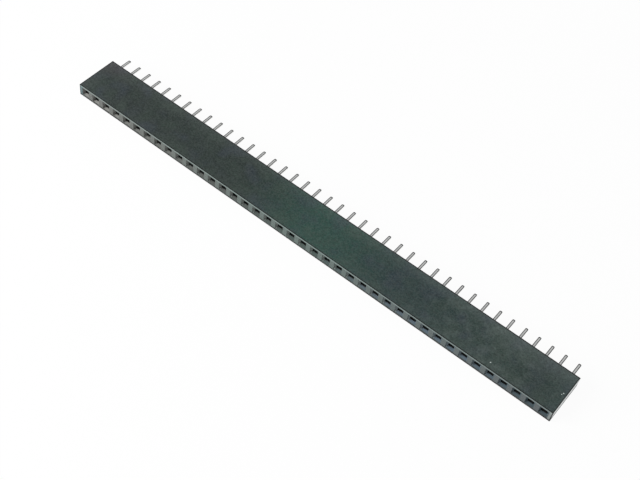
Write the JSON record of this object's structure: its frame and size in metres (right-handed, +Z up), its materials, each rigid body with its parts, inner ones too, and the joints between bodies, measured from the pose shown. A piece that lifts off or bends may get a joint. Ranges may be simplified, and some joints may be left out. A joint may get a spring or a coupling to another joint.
{
  "type": "female pin header strip",
  "caption": "Single-row straight socket strip with stamped contacts and flat solder tails, for square pins on a 2.54 mm pitch.",
  "frame": {"origin": "centre of the overall box (housing and tails) in X and Y, on the surface that the strip lies on", "axes": "+X along the row of sockets, -Y is the mating face, +Y the board side with the solder tails, +Z up through the thickness from the broad face it lies on"},
  "size_m": [0.102, 0.0116, 0.0025],
  "materials": {
    "housing_plastic": "dark grey glass-filled moulding, satin",
    "contact_metal": "tin plate over copper alloy sheet, semi-bright"
  },
  "bodies": {
    "root": {"housing": "housing_plastic", "contact_01": "contact_metal", "contact_02": "contact_metal", "contact_03": "contact_metal", "contact_04": "contact_metal", "contact_05": "contact_metal", "contact_06": "contact_metal", "contact_07": "contact_metal", "contact_08": "contact_metal", "contact_09": "contact_metal", "contact_10": "contact_metal", "contact_11": "contact_metal", "contact_12": "contact_metal", "contact_13": "contact_metal", "contact_14": "contact_metal", "contact_15": "contact_metal", "contact_16": "contact_metal", "contact_17": "contact_metal", "contact_18": "contact_metal", "contact_19": "contact_metal", "contact_20": "contact_metal", "contact_21": "contact_metal", "contact_22": "contact_metal", "contact_23": "contact_metal", "contact_24": "contact_metal", "contact_25": "contact_metal", "contact_26": "contact_metal", "contact_27": "contact_metal", "contact_28": "contact_metal", "contact_29": "contact_metal", "contact_30": "contact_metal", "contact_31": "contact_metal", "contact_32": "contact_metal", "contact_33": "contact_metal", "contact_34": "contact_metal", "contact_35": "contact_metal", "contact_36": "contact_metal", "contact_37": "contact_metal", "contact_38": "contact_metal", "contact_39": "contact_metal", "contact_40": "contact_metal"}
  },
  "joints": []
}
